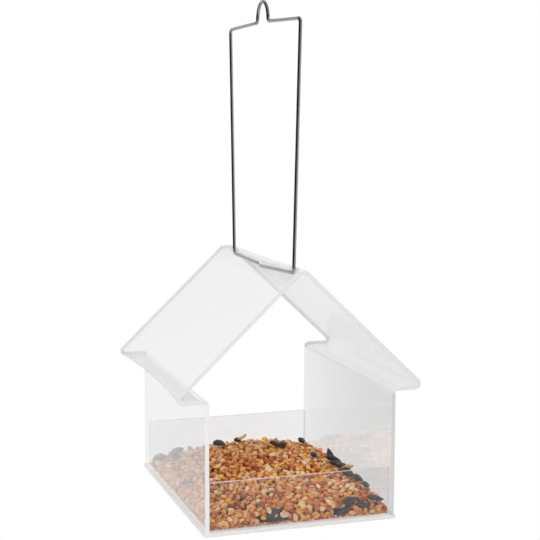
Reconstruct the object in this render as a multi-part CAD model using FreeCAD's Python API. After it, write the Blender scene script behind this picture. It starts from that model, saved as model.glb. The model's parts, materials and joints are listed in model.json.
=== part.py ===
import FreeCAD, Part
import math
import os

# Hanging bird table: a house bent from one clear strip, a floor with two low panels, and a wire hanger.
# Millimetres and degrees. X runs across the house, Y from front to back and Z up.
# Heights are measured from the underside of the floor. Each finished piece is then lowered,
# so that the origin is the point where a hook bears inside the hanger's loop.

Vector = FreeCAD.Vector

# Driving dimensions of the clear sheets
sheet = 2.5
floor_sheet = 2.5
panel_sheet = 2.5
base_width = 120.0
house_depth = 157.5
floor_lip = 0.6
eave_level = 82.4
panel_height = 30.0
roof_span = 153.4
roof_pitch = 43.6

# Inside radii of the hot bends
wall_bend = 1.0
eave_bend = 1.0
ridge_bend = 2.5

# Leg of the cement bead in each bonded corner
bead_leg = 1.2

# Driving dimensions of the wire hanger
wire_diameter = 2.2
wire_bend = 3.0
wire_hole = 6.0
wire_hole_spacing = 123.0
wire_slack = 0.3
wire_end_gap = 3.5
wire_end_shift = 6.7
hanger_rise = 149.6
hanger_top_width = 141.5
bar_rise = 1.4
loop_radius = 10.4
loop_rise = 12.6

# Driving dimensions of the seed heap
heap_crest = 15.9
heap_crest_x = 7.0
heap_crest_y = 5.0
heap_round_across = 240.0
heap_round_along = 650.0
heap_slack = 0.4
grain_sides = 6
grain_length = 11.0
grain_width = 5.6
grain_rise = 2.4
grain_pitch = 12.0
grain_turn = 137.5

# Half widths and levels that several pieces share
wall_outside = base_width / 2
wall_inside = wall_outside - sheet
shell_front = house_depth / 2
panel_inside = shell_front - panel_sheet
floor_top = floor_sheet
panel_top = floor_top + panel_height

# Half widths of the seed heap, the egg-shaped solid that it is the cap of, and its grains across their flats
heap_half_x = wall_inside - bead_leg - heap_slack
heap_half_y = panel_inside - bead_leg - heap_slack
heap_middle = Vector(heap_crest_x, heap_crest_y, floor_top + heap_crest - heap_round_across)
heap_half_length = math.sqrt(heap_round_along * heap_round_across)
grain_half_height = grain_width / 2 * math.cos(math.pi / grain_sides)

# Middle line of the bent strip
pitch = math.radians(roof_pitch)
strip_wall_x = wall_outside - sheet / 2
strip_flange_z = eave_level - sheet / 2
eave_middle_bend = eave_bend + sheet / 2
strip_eave_x = roof_span / 2 - eave_middle_bend - sheet / 2 + eave_middle_bend / math.tan(pitch / 2)
strip_ridge_z = strip_flange_z + strip_eave_x * math.tan(pitch)

# Underside and top of the rounded ridge
ridge_middle_bend = ridge_bend + sheet / 2
ridge_middle = strip_ridge_z - ridge_middle_bend * (1 / math.cos(pitch) - 1)
ridge_underside = ridge_middle - sheet / 2
ridge_top = ridge_middle + sheet / 2

# Levels of the hanger's middle line
wire_radius = wire_diameter / 2
wire_run_z = ridge_underside - wire_slack - wire_radius
wire_leg_y = wire_hole_spacing / 2
hanger_corner_z = wire_run_z + hanger_rise
loop_foot_z = hanger_corner_z + bar_rise
loop_top_z = loop_foot_z + loop_rise
hook_level = loop_top_z - wire_radius


def rounded_path(corners, radii):
    """Edges of straight runs through the corners, each inner corner rounded by its own tangent arc."""
    edges = []
    start = corners[0]
    for before, corner, after, radius in zip(corners, corners[1:], corners[2:], radii):
        back = (before - corner).normalize()
        ahead = (after - corner).normalize()
        half_angle = back.getAngle(ahead) / 2
        arc_start = corner + back * (radius / math.tan(half_angle))
        arc_end = corner + ahead * (radius / math.tan(half_angle))
        bisector = (back + ahead).normalize()
        arc_middle = corner + bisector * (radius / math.sin(half_angle) - radius)
        edges += straight_run(start, arc_start)
        edges.append(Part.Arc(arc_start, arc_middle, arc_end).toShape())
        start = arc_end
    return edges + straight_run(start, corners[-1])


def straight_run(start, end):
    """One straight edge, or none where two arcs meet end to end."""
    shortest = 1e-6
    if start.distanceToPoint(end) < shortest:
        return []
    return [Part.LineSegment(start, end).toShape()]


def left_of(start, end):
    """Unit normal in the XZ plane, to the left of the way from start to end."""
    way = (end - start).normalize()
    return Vector(-way.z, 0, way.x)


def beside(corners, distance):
    """The same corners, moved so that every run lies this far to its left."""
    normals = [left_of(start, end) for start, end in zip(corners, corners[1:])]
    moved = [corners[0] + normals[0] * distance]
    for corner, first, second in zip(corners[1:-1], normals, normals[1:]):
        bisector = (first + second).normalize()
        moved.append(corner + bisector * (distance / bisector.dot(first)))
    return moved + [corners[-1] + normals[-1] * distance]


def bent_strip(corners, inside_radii, thickness, depth):
    """A strip of this thickness bent along the corners of its middle line, centred on Y."""
    left_radii = []
    right_radii = []
    for before, corner, after, inside in zip(corners, corners[1:], corners[2:], inside_radii):
        turns_left = left_of(before, corner).dot(after - corner) > 0
        left_radii.append(inside if turns_left else inside + thickness)
        right_radii.append(inside + thickness if turns_left else inside)
    left_corners = beside(corners, thickness / 2)
    right_corners = beside(corners, -thickness / 2)
    edges = rounded_path(left_corners, left_radii) + rounded_path(right_corners, right_radii)
    edges += straight_run(left_corners[0], right_corners[0])
    edges += straight_run(left_corners[-1], right_corners[-1])
    section = Part.Face(Part.Wire(Part.__sortEdges__(edges)))
    section.translate(Vector(0, -depth / 2, 0))
    return section.extrude(Vector(0, depth, 0))


def house_shell():
    """Walls, eaves, roof slopes and ridge in one bent strip, with the wire's two holes in the ridge."""
    half = [
        Vector(strip_wall_x, 0, floor_top),
        Vector(strip_wall_x, 0, strip_flange_z),
        Vector(strip_eave_x, 0, strip_flange_z),
    ]
    mirrored = [Vector(-corner.x, 0, corner.z) for corner in half]
    corners = mirrored + [Vector(0, 0, strip_ridge_z)] + half[::-1]
    radii = [wall_bend, eave_bend, ridge_bend, eave_bend, wall_bend]
    shell = bent_strip(corners, radii, sheet, house_depth)
    hole_start = wire_run_z - wire_hole
    hole_length = ridge_top + sheet - hole_start
    for y in (-wire_leg_y, wire_leg_y):
        shell = shell.cut(Part.makeCylinder(wire_hole / 2, hole_length, Vector(0, y, hole_start)))
    return shell


def block(low, high):
    """Box between two opposite corners."""
    size = high - low
    return Part.makeBox(size.x, size.y, size.z, low)


def floor_plate():
    """Flat sheet under the walls and panels, standing out by the lip all round."""
    x = wall_outside + floor_lip
    y = shell_front + floor_lip
    return block(Vector(-x, -y, 0), Vector(x, y, floor_top))


def end_panel(side):
    """Low panel between the walls, flush with the shell's edges: side is -1 at the front, 1 at the back."""
    near = min(side * panel_inside, side * shell_front)
    far = max(side * panel_inside, side * shell_front)
    return block(Vector(-wall_inside, near, floor_top), Vector(wall_inside, far, panel_top))


def cement_bead(corner, first, second, run):
    """Hollow-faced bead along run, from a bonded inside corner out along the first and second sheet."""
    first_toe = corner + first * bead_leg
    second_toe = corner + second * bead_leg
    sag = bead_leg * (1 - math.sqrt(0.5))
    face_middle = corner + (first + second) * sag
    edges = [
        Part.LineSegment(corner, first_toe).toShape(),
        Part.Arc(first_toe, face_middle, second_toe).toShape(),
        Part.LineSegment(second_toe, corner).toShape(),
    ]
    return Part.Face(Part.Wire(edges)).extrude(run)


def floor_bead_beside_wall(side):
    """Bead from the floor up one wall, along the whole tray: side is -1 on the left, 1 on the right."""
    corner = Vector(side * wall_inside, -panel_inside, floor_top)
    return cement_bead(corner, Vector(-side, 0, 0), Vector(0, 0, 1), Vector(0, 2 * panel_inside, 0))


def floor_bead_beside_panel(side):
    """Bead from the floor up one panel, between the beads beside the walls."""
    reach = wall_inside - bead_leg
    corner = Vector(-reach, side * panel_inside, floor_top)
    return cement_bead(corner, Vector(0, -side, 0), Vector(0, 0, 1), Vector(2 * reach, 0, 0))


def corner_bead(side, end):
    """Upright bead between one wall and one panel, above the beads on the floor."""
    corner = Vector(side * wall_inside, end * panel_inside, floor_top + bead_leg)
    run = Vector(0, 0, panel_height - bead_leg)
    return cement_bead(corner, Vector(-side, 0, 0), Vector(0, -end, 0), run)


def hanger_wire():
    """One wire: a run under the ridge, a leg, the top bar with its round loop, a leg and the other run."""
    top_y = hanger_top_width / 2
    back_end = wire_end_shift + wire_end_gap / 2
    front_end = wire_end_shift - wire_end_gap / 2
    back_half = [
        Vector(0, wire_leg_y, wire_run_z),
        Vector(0, top_y, hanger_corner_z),
        Vector(0, loop_radius, loop_foot_z),
        Vector(0, loop_radius, loop_top_z),
    ]
    front_half = [Vector(0, -corner.y, corner.z) for corner in back_half[::-1]]
    start = Vector(0, back_end, wire_run_z)
    end = Vector(0, front_end, wire_run_z)
    corners = [start] + back_half + front_half + [end]
    half_radii = [wire_bend, wire_bend, wire_bend, loop_radius]
    path = Part.Wire(rounded_path(corners, half_radii + half_radii[::-1]))
    section = Part.Wire(Part.makeCircle(wire_radius, start, Vector(0, 1, 0)))
    return path.makePipeShell([section], True, False)


def heap_level(x, y):
    """Level of the smooth mound's top at this place."""
    along = (y - heap_middle.y) / heap_half_length
    across = x - heap_middle.x
    return heap_middle.z + math.sqrt(heap_round_across**2 * (1 - along**2) - across**2)


def smooth_mound():
    """The cap of an egg-shaped solid, cut off at the floor and clear of the cement."""
    low = Vector(-heap_half_x, -heap_half_y, floor_top)
    tray = block(low, Vector(heap_half_x, heap_half_y, panel_top + heap_crest))
    tip = Vector(0, heap_half_length, 0)
    shoulder = Vector(0, 0, heap_round_across)
    ellipse = Part.Ellipse(heap_middle + tip, heap_middle + shoulder, heap_middle)
    upper_half = Part.Arc(ellipse, 0, math.pi).toShape()
    axis_edge = Part.LineSegment(heap_middle - tip, heap_middle + tip).toShape()
    outline = Part.Face(Part.Wire(Part.__sortEdges__([upper_half, axis_edge])))
    return outline.revolve(heap_middle, Vector(0, 1, 0), 360).common(tray)


def loose_grain(place, turn):
    """One large grain, a bar drawn to a point at both ends, that lies level at this place and turn."""
    tip = Vector(grain_length / 2, 0, 0)
    radius = grain_width / 2
    angles = [2 * math.pi * side / grain_sides for side in range(grain_sides)]
    back, front = [
        [Vector(x, radius * math.cos(angle), radius * math.sin(angle)) for angle in angles]
        for x in (-grain_length / 4, grain_length / 4)
    ]
    faces = []
    for side in range(grain_sides):
        after = (side + 1) % grain_sides
        faces.append([-tip, back[after], back[side]])
        faces.append([back[side], back[after], front[after], front[side]])
        faces.append([tip, front[side], front[after]])
    shell = Part.Shell([Part.Face(Part.makePolygon(corners + corners[:1])) for corners in faces])
    grain = Part.Solid(shell)
    grain.rotate(Vector(), Vector(0, 0, 1), turn)
    grain.translate(place)
    return grain


def grains_on_top():
    """Large grains in staggered rows on the mound's top, each turned on from the one before."""
    reach_x = heap_half_x - grain_length / 2
    reach_y = heap_half_y - grain_length / 2
    row_pitch = grain_pitch * math.sqrt(0.75)
    rows = int(reach_y / row_pitch)
    columns = int(reach_x / grain_pitch)
    grains = []
    for row in range(-rows, rows + 1):
        shift = grain_pitch / 2 * (row % 2)
        for column in range(-columns, columns + 1):
            x = column * grain_pitch + shift
            y = row * row_pitch
            if x <= reach_x:
                centre = heap_level(x, y) + grain_rise - grain_half_height
                grains.append(loose_grain(Vector(x, y, centre), grain_turn * len(grains)))
    return grains


def grains_on_sides():
    """Large grains along the mound's upright sides, above the cement, that stand out as far as it does."""
    sunk = grain_width / 2 - bead_leg
    centre = floor_top + bead_leg + grain_half_height
    count_x = int((heap_half_x - grain_length / 2) / grain_pitch)
    count_y = int((heap_half_y - grain_length / 2) / grain_pitch)
    places = []
    for side in (-1, 1):
        places += [(Vector(step * grain_pitch, side * (heap_half_y - sunk), centre), 0)
                   for step in range(-count_x, count_x + 1)]
        places += [(Vector(side * (heap_half_x - sunk), step * grain_pitch, centre), 90)
                   for step in range(-count_y, count_y + 1)]
    return [loose_grain(place, turn) for place, turn in places if heap_level(place.x, place.y) > centre]


def seed_heap():
    """Loose seed as one low mound on the floor, with the larger grains standing out of it."""
    return smooth_mound().fuse(grains_on_top() + grains_on_sides())


def pieces():
    """Every piece of the bird table by its name."""
    sides = {"left": -1, "right": 1}
    ends = {"front": -1, "back": 1}
    table = {
        "house_shell": house_shell(),
        "floor_plate": floor_plate(),
        "hanger_wire": hanger_wire(),
        "seed_heap": seed_heap(),
    }
    for side_name, side in sides.items():
        table["floor_bead_" + side_name] = floor_bead_beside_wall(side)
    for end_name, end in ends.items():
        table[end_name + "_panel"] = end_panel(end)
        table["floor_bead_" + end_name] = floor_bead_beside_panel(end)
        for side_name, side in sides.items():
            table["corner_bead_" + end_name + "_" + side_name] = corner_bead(side, end)
    return table


os.makedirs("parts", exist_ok=True)
for name, shape in pieces().items():
    shape.translate(Vector(0, 0, -hook_level))
    shape.exportStep("parts/" + name + ".step")
    print(name, len(shape.Solids), shape.isValid(), round(shape.Volume, 1))
print("hook level", round(hook_level, 3), "wire run", round(wire_run_z - hook_level, 3))
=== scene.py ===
import json
from math import copysign, cos, dist, exp, inf, pi, radians, sin, sqrt, tan

import bmesh
import bpy
import numpy as np
from mathutils import Matrix, Vector
from mathutils.bvhtree import BVHTree


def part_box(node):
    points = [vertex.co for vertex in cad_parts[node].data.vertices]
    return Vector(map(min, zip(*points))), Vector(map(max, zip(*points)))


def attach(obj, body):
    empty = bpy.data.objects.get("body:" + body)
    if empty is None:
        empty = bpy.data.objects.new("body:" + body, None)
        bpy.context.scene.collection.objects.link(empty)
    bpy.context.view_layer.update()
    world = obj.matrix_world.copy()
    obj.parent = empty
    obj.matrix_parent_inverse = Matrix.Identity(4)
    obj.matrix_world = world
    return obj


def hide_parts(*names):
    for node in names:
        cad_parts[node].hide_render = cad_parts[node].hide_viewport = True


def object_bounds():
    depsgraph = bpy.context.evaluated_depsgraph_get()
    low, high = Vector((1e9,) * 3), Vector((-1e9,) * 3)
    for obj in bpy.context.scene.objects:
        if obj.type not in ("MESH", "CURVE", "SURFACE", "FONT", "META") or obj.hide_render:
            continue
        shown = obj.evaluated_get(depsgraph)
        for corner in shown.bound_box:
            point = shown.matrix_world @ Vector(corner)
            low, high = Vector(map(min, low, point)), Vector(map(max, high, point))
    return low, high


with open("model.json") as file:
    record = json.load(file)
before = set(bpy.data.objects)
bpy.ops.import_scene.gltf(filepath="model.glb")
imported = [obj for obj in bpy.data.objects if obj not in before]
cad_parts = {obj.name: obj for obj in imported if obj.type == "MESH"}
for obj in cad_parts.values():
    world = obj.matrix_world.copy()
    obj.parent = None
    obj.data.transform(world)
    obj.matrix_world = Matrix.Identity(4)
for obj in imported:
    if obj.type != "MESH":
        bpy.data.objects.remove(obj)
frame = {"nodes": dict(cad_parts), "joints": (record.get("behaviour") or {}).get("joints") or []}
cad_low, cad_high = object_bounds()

# Hanging bird table: clear sheets, a wire hanger and a heap of mixed seed, in metres in the frame's axes.
# X runs across the house, Y from front to back and Z up.

millimetre = 0.001
bead_random_seed = 5
heap_random_seed = 11

# Places that the frame gives
shell_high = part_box("house_shell")[1]
floor_low, floor_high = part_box("floor_plate")
panel_low, panel_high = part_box("front_panel")
wire_low, wire_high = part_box("hanger_wire")
heap_low, heap_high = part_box("seed_heap")
bead_low, bead_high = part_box("floor_bead_left")
swing = frame["joints"][0]
table_middle = (cad_low + cad_high) / 2

# The bent strip that makes walls, eaves, roof and ridge
sheet = panel_high.y - panel_low.y
half_depth = shell_high.y
roof_pitch = radians(43.6)
wall_bend = 1.0 * millimetre + sheet / 2
eave_bend = 1.0 * millimetre + sheet / 2
ridge_bend = 2.5 * millimetre + sheet / 2
strip_wall_x = panel_high.x + sheet / 2
strip_eave_x = shell_high.x - sheet / 2 - eave_bend + eave_bend / tan(roof_pitch / 2)
strip_ridge_z = shell_high.z - sheet / 2 + ridge_bend * (1 / cos(roof_pitch) - 1)
strip_flange_z = strip_ridge_z - strip_eave_x * tan(roof_pitch)
wire_hole_radius = 3.0 * millimetre

# How the hot bends drew the sheet out of true: the eaves bow in, and the ridge is pressed flat to the back
eave_bow = 3.0 * millimetre
ridge_press = 2.0 * millimetre

# Cut edges are broken by a narrow chamfer, and bonded faces keep a film of cement between them
edge_chamfer = 0.15 * millimetre
cement_film = 0.03 * millimetre
weld_gap = 0.002 * millimetre

# Numbers of the materials on the strip, on the flat sheets and on the heap's inside
outer_face, roof_cut, inner_face, bonded_face, wall_cut = range(5)
plate_face, plate_cut, plate_bond = range(3)
heap_inside, heap_floor = range(2)

# Acrylic mirrors a small share straight on and more at a flat angle, and the roof is duller than the walls
straight_mirror = 0.04
mirror_power = 5.0
wall_flattest_mirror = 1.0
roof_flattest_mirror = 0.3
roof_tint = 0.918
roof_roughness = 0.12
acrylic_bending = 1.49
# Corners of the front where the cut edges carry a painted highlight (left) and painted shade (right)
front_left = (-1.0, -1.0, 0.0)
front_right = (1.0, -1.0, 0.0)

# The wire hanger
wire_radius = (wire_high.x - wire_low.x) / 2
wire_run_z = swing["pos_m"][2]
wire_leg_y = 61.5 * millimetre
wire_bend = 3.0 * millimetre
hanger_top_y = 70.75 * millimetre
hanger_corner_z = wire_run_z + 149.6 * millimetre
loop_radius = 10.4 * millimetre
loop_foot_z = hanger_corner_z + 1.4 * millimetre
loop_foot_bend = 3.0 * millimetre
loop_top_z = wire_high.z - wire_radius
wire_back_end = 8.45 * millimetre
wire_front_end = 4.95 * millimetre
back_foot_drop = 2.0 * millimetre
back_end_drop = 2.3 * millimetre
front_end_drop = 3.6 * millimetre
steel_colours = [(0.30, 0.305, 0.31), (0.46, 0.465, 0.47)]

# The room that a grain takes in millimetres: its length, width and depth
wheat_room = (5.7, 3.8, 3.5)
maize_room = (7.0, 5.4, 4.2)
sunflower_room = (12.0, 5.8, 3.6)
nut_room = (8.0, 5.6, 4.4)
husk_room = (10.0, 3.8, 3.0)
crumb_room = (1.9, 1.5, 1.3)

# How near grains lie to one another and to the sheets, and how much deeper the second layer lies
grain_gap = 3.4 * millimetre
crumb_gap = 1.3 * millimetre
layer_depth = 2.3 * millimetre
tray_slack = 0.05 * millimetre
tray_half_x = panel_high.x - tray_slack
tray_half_y = -panel_high.y - tray_slack
bead_leg = bead_high.x - bead_low.x
heap_half_x = heap_high.x - bead_leg
heap_half_y = heap_high.y - bead_leg

# How far the loose grains keep off the grains that have a place of their own
top_clearance = 3.0 * millimetre
side_clearance = 4.2 * millimetre
inner_side_clearance = 3.4 * millimetre
crumb_clearance = 2.0 * millimetre

# The share of each kind of grain in a layer
top_mix = {"upper": 0.86, "maize": 0.11, "nuts": 0.012, "husks": 0.018}
inner_mix = {"lower": 0.95, "maize": 0.05}
side_mix = {"rim": 0.89, "maize": 0.10, "nuts": 0.01}
floor_mix = {"rim": 0.90, "maize": 0.08, "sunflower": 0.02}
edge_mix = {"crumbs": 1.0}

# Skin colours of the grains, from dark to pale, and the colours of their seams
wheat_colours = [
    (0.40, 0.09, 0.017), (0.73, 0.23, 0.052), (0.93, 0.38, 0.115), (0.99, 0.53, 0.23), (1.0, 0.73, 0.45),
]
maize_colours = [(0.82, 0.26, 0.015), (0.92, 0.40, 0.02), (0.95, 0.53, 0.04), (0.96, 0.72, 0.25)]
hull_colours = [(0.008, 0.008, 0.009), (0.02, 0.02, 0.022), (0.045, 0.046, 0.05)]
nut_colours = [(0.62, 0.36, 0.19), (0.78, 0.54, 0.34), (0.86, 0.68, 0.50)]
husk_colours = [(0.45, 0.27, 0.10), (0.75, 0.55, 0.24), (0.86, 0.72, 0.40)]
# Dark browns of painted shade, for the gaps between grains and for the heap's inside
painted_shade_colours = [(0.06, 0.02, 0.008), (0.12, 0.045, 0.02), (0.18, 0.08, 0.03)]
floor_dust_colours = [(0.42, 0.14, 0.04), (0.62, 0.26, 0.08), (0.80, 0.42, 0.17)]
crease_colour = (0.42, 0.15, 0.05)
ridge_colour = (0.08, 0.083, 0.088)

# Pixels of the photograph where the two ends of a grain show, or would show if the left wall bent no light
sunflower_ends = [
    ((214, 444), (226, 447)),
    ((236, 443), (240, 440)),
    ((272, 445), (281, 448)),
    ((279, 447), (287, 446)),
    ((299, 443), (304, 442)),
    ((268, 516), (278, 511)),
    ((269, 524), (285, 521)),
    ((313, 460), (314, 453)),
    ((328, 459), (339, 463)),
    ((337, 465), (343, 459)),
    ((337, 469), (343, 466)),
    ((343, 472), (351, 477)),
    ((352, 476), (364, 485)),
    ((363, 484), (368, 491)),
    ((367, 499), (383, 501)),
    ((359, 505), (370, 507)),
    ((344, 504), (358, 501)),
    ((339, 515), (350, 507)),
    ((154, 458), (155, 466)),
    ((158, 455), (167, 459)),
    ((171, 454), (187, 451)),
    ((173, 456), (180, 459)),
    ((184, 483), (178, 492)),
]
maize_ends = [
    ((261, 442), (268, 440)),
    ((215, 470), (222, 468)),
    ((273, 471), (280, 467)),
    ((261, 520), (268, 516)),
    ((269, 483), (275, 480)),
]
nut_ends = [((268, 459), (278, 456)), ((280, 516), (290, 514))]
husk_ends = [((238, 443), (247, 438))]

# Pixels of the foot and the tip of a black seed that stands up in the heap and of a husk that juts out of it
standing_seed = ((332, 457), (329, 448))
jutting_husk = ((343, 468), (359, 465))

# The photograph's frame and the camera fitted to the house's straight edges
photo_side = 540
focal_pixels = 1313.6
sensor_width = 36.0
camera_place = Vector((-0.25797, -0.79644, -0.05933))
camera_yaw = radians(18.294)
camera_pitch = radians(7.417)
camera_roll = radians(0.207)

# The studio: lamps placed from the table's middle, and a round floor below it
key_place = table_middle + Vector((-0.5, -0.5, 1.1))
key_power = 9.5
fill_place = table_middle + Vector((-0.7, -1.3, 0.1))
fill_power = 5.5
lamp_size = 0.9
ambient_light = 0.6
stage_radius = 1.0
stage_level = floor_low.z - 0.45


# Node helpers


def add(tree, kind, inputs=None, **settings):
    """A new shader node with these settings, and values or links for its inputs."""
    node = tree.nodes.new("ShaderNode" + kind)
    for name, value in settings.items():
        setattr(node, name, value)
    for name, value in (inputs or {}).items():
        if isinstance(value, bpy.types.NodeSocket):
            tree.links.new(value, node.inputs[name])
        else:
            node.inputs[name].default_value = value
    return node


def made(tree, kind, inputs=None, **settings):
    """The first output of a new shader node."""
    return add(tree, kind, inputs, **settings).outputs[0]


def new_material(name):
    """An empty material and its node tree."""
    material = bpy.data.materials.new(name)
    material.use_nodes = True
    material.node_tree.nodes.clear()
    return material, material.node_tree


def show(tree, shader):
    """Joins a shader to the material's output."""
    add(tree, "OutputMaterial", {"Surface": shader})


def grey(level):
    """A neutral colour of this brightness."""
    return (level, level, level, 1.0)


def object_place(tree):
    """The place on the object, which is the place in the frame."""
    return add(tree, "TexCoord").outputs["Object"]


def along_way(tree, place, way):
    """How far a place lies along a direction."""
    return add(tree, "VectorMath", {0: place, 1: way}, operation="DOT_PRODUCT").outputs["Value"]


def ranged(tree, value, low, high, start=0.0, end=1.0, bend="LINEAR"):
    """A value that goes from low to high while the given one goes from start to end."""
    return made(tree, "MapRange", {
        "Value": value,
        "From Min": start,
        "From Max": end,
        "To Min": low,
        "To Max": high,
    }, interpolation_type=bend)


def fade(tree, value, start, end, least):
    """A share that is 1 up to the start and falls smoothly to the least at the end."""
    return ranged(tree, value, 1.0, least, start, end, "SMOOTHSTEP")


def by_height(tree, height, on_walls, on_roof):
    """A value that changes at the eaves, from the walls' to the roof's."""
    start = strip_flange_z - 3 * sheet
    end = strip_flange_z + sheet
    return ranged(tree, height, on_walls, on_roof, start, end, "SMOOTHSTEP")


def product(tree, first, second):
    """Two values multiplied."""
    return made(tree, "Math", {0: first, 1: second}, operation="MULTIPLY")


def power(tree, value, exponent):
    """A value raised to a power."""
    return made(tree, "Math", {0: value, 1: exponent}, operation="POWER")


def noise(tree, place, scale, detail, distortion=0.0):
    """Soft uneven patches."""
    return add(tree, "TexNoise", {
        "Vector": place,
        "Scale": scale,
        "Detail": detail,
        "Distortion": distortion,
    }).outputs["Fac"]


def bubbles(tree, scale):
    """The distance from the nearest of many scattered points."""
    return add(tree, "TexVoronoi", {"Vector": object_place(tree), "Scale": scale}).outputs["Distance"]


def bumped(tree, height, strength, distance):
    """The surface's normal, made uneven by this height."""
    return made(tree, "Bump", {"Height": height, "Strength": strength, "Distance": distance})


def mixed(tree, share, first, second):
    """A shader with this share of the second one and the rest of the first."""
    return made(tree, "MixShader", {0: share, 1: first, 2: second})


def blend(tree, share, first, second, way="MIX"):
    """A colour that goes from the first to the second by this share."""
    return add(tree, "Mix", {0: share, 6: first, 7: second}, data_type="RGBA", blend_type=way).outputs[2]


def ramp_of(tree, factor, colours):
    """Colours spread evenly from a factor of 0 to 1."""
    ramp = add(tree, "ValToRGB", {"Fac": factor})
    stops = ramp.color_ramp.elements
    while len(stops) < len(colours):
        stops.new(0.5)
    for number, colour in enumerate(colours):
        stops[number].position = number / (len(colours) - 1)
        stops[number].color = (*colour, 1.0)
    return ramp.outputs[0]


# Mesh helpers


def new_object(name, data):
    """An object in the scene that shows this data."""
    holder = bpy.data.objects.new(name, data)
    bpy.context.scene.collection.objects.link(holder)
    return holder


def new_piece(name, mesh, materials, body=None, replaced=None):
    """An object that shows this mesh, rides on a body and stands for a node of the frame."""
    piece = new_object(name, mesh)
    for material in materials:
        mesh.materials.append(material)
    if body:
        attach(piece, body)
    if replaced:
        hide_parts(replaced)
    return piece


def mesh_of(name, vertices, faces, kinds=None):
    """A smooth mesh with the faces' material numbers in kinds."""
    mesh = bpy.data.meshes.new(name)
    mesh.from_pydata(vertices, [], faces)
    if kinds is not None:
        mesh.polygons.foreach_set("material_index", kinds)
    mesh.shade_smooth()
    mesh.update()
    return mesh


def rework(mesh, change):
    """Makes a change to a mesh as a whole."""
    draft = bmesh.new()
    draft.from_mesh(mesh)
    change(draft)
    draft.to_mesh(mesh)
    draft.free()


def face_out(draft):
    """Makes every face of a closed mesh look out."""
    bmesh.ops.recalc_face_normals(draft, faces=draft.faces)


def weld(draft):
    """Joins corners that fall on one another and drops the faces that this leaves without area."""
    bmesh.ops.remove_doubles(draft, verts=draft.verts, dist=weld_gap)
    bmesh.ops.dissolve_degenerate(draft, dist=weld_gap, edges=draft.edges)


def sharpen(mesh, degrees):
    """Keeps the edges sharp where faces meet at more than this angle."""
    mesh.set_sharp_from_angle(angle=radians(degrees))


def keep_vectors(mesh, name, vectors):
    """Keeps a vector for each corner of a mesh, for its material to read."""
    attribute = mesh.attributes.new(name, "FLOAT_VECTOR", "POINT")
    attribute.data.foreach_set("vector", np.array(vectors, np.float32).ravel())


def angles_round(count, shift=0.0):
    """Angles spread evenly round a circle, moved on by a share of one step."""
    return [2 * pi * (number + shift) / count for number in range(count)]


def loft(rings, closed=True):
    """Faces between rings of equal size, numbered one ring after another."""
    size = len(rings[0])
    faces = []
    for row in range(len(rings) - 1):
        for column in range(size if closed else size - 1):
            after = (column + 1) % size
            first = row * size
            second = first + size
            faces.append((first + column, first + after, second + after, second + column))
    return faces


def closed_mesh(name, rings, kinds=None):
    """A mesh through rings of equal size, with one face across each end."""
    vertices = [point for ring in rings for point in ring]
    first = list(range(len(rings[0])))
    last = [len(vertices) - len(first) + corner for corner in first]
    mesh = mesh_of(name, vertices, loft(rings) + [first[::-1], last], kinds)
    rework(mesh, face_out)
    return mesh


def slab_faces(lines):
    """The face, back and rim of a slab from a grid of points to a second grid that is numbered after it."""
    across = len(lines[0])
    count = len(lines) * across
    last = count - across
    face = loft(lines, closed=False)
    back = [tuple(count + corner for corner in corners[::-1]) for corners in face]
    outline = [
        *range(across),
        *range(2 * across - 1, count, across),
        *range(count - 2, last - 1, -1),
        *range(last - across, 0, -across),
    ]
    steps = zip(outline, outline[1:] + outline[:1])
    rim = [(here, count + here, count + there, there) for here, there in steps]
    return face, back, rim


# Materials


def gloss(tree, roughness, bump):
    """A white mirror of this roughness."""
    return made(tree, "BsdfAnisotropic", {"Color": grey(1.0), "Roughness": roughness, "Normal": bump})


def clear_sheet_shader(tree, tint, roughness, bump, haze, flattest):
    """Thin clear plastic that shows what lies behind it and mirrors more, up to a share, at a flat angle."""
    facing = add(tree, "LayerWeight", {"Blend": 0.5, "Normal": bump}).outputs["Facing"]
    mirrored = ranged(tree, power(tree, facing, mirror_power), straight_mirror, flattest)
    passing = made(tree, "BsdfTransparent", {"Color": tint})
    dust = made(tree, "BsdfDiffuse", {"Color": grey(0.9), "Normal": bump})
    return mixed(tree, mirrored, mixed(tree, haze, passing, dust), gloss(tree, roughness, bump))


def acrylic_face(name, tint, dust, roughness, roof_dust):
    """Polished faces: slight ripples and faint smears, and on the roof dull and dusty, most on the left."""
    material, tree = new_material(name)
    place = object_place(tree)
    parts = add(tree, "SeparateXYZ", {"Vector": place}).outputs
    height = parts["Z"]
    ripple = noise(tree, place, scale=24.0, detail=1.0)
    smear = noise(tree, place, scale=60.0, detail=6.0, distortion=1.5)
    polish = by_height(tree, height, roughness, roof_roughness)
    dullness = product(tree, polish, ranged(tree, smear, 0.6, 1.4))
    left_share = ranged(tree, parts["X"], 1.0, 0.15, start=-4 * sheet, end=4 * sheet)
    dusty_end = shell_high.z - 4 * sheet
    washed_end = shell_high.z - 2 * sheet
    below_ridge = ranged(tree, height, 1.0, 0.3, start=dusty_end, end=washed_end)
    settled = product(tree, product(tree, left_share, below_ridge), roof_dust)
    haze = by_height(tree, height, dust, settled)
    film = product(tree, by_height(tree, height, tint, roof_tint), ranged(tree, smear, 0.985, 1.015))
    flattest = by_height(tree, height, wall_flattest_mirror, roof_flattest_mirror)
    bump = bumped(tree, ripple, strength=0.1, distance=0.3 * millimetre)
    show(tree, clear_sheet_shader(tree, film, dullness, bump, haze, flattest))
    return material


def to_corner(tree, place, corner, elsewhere, there):
    """A value that changes along the front towards one of its corners."""
    start = half_depth - panel_high.x
    end = half_depth + panel_high.x
    return ranged(tree, along_way(tree, place, corner), elsewhere, there, start, end)


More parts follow.
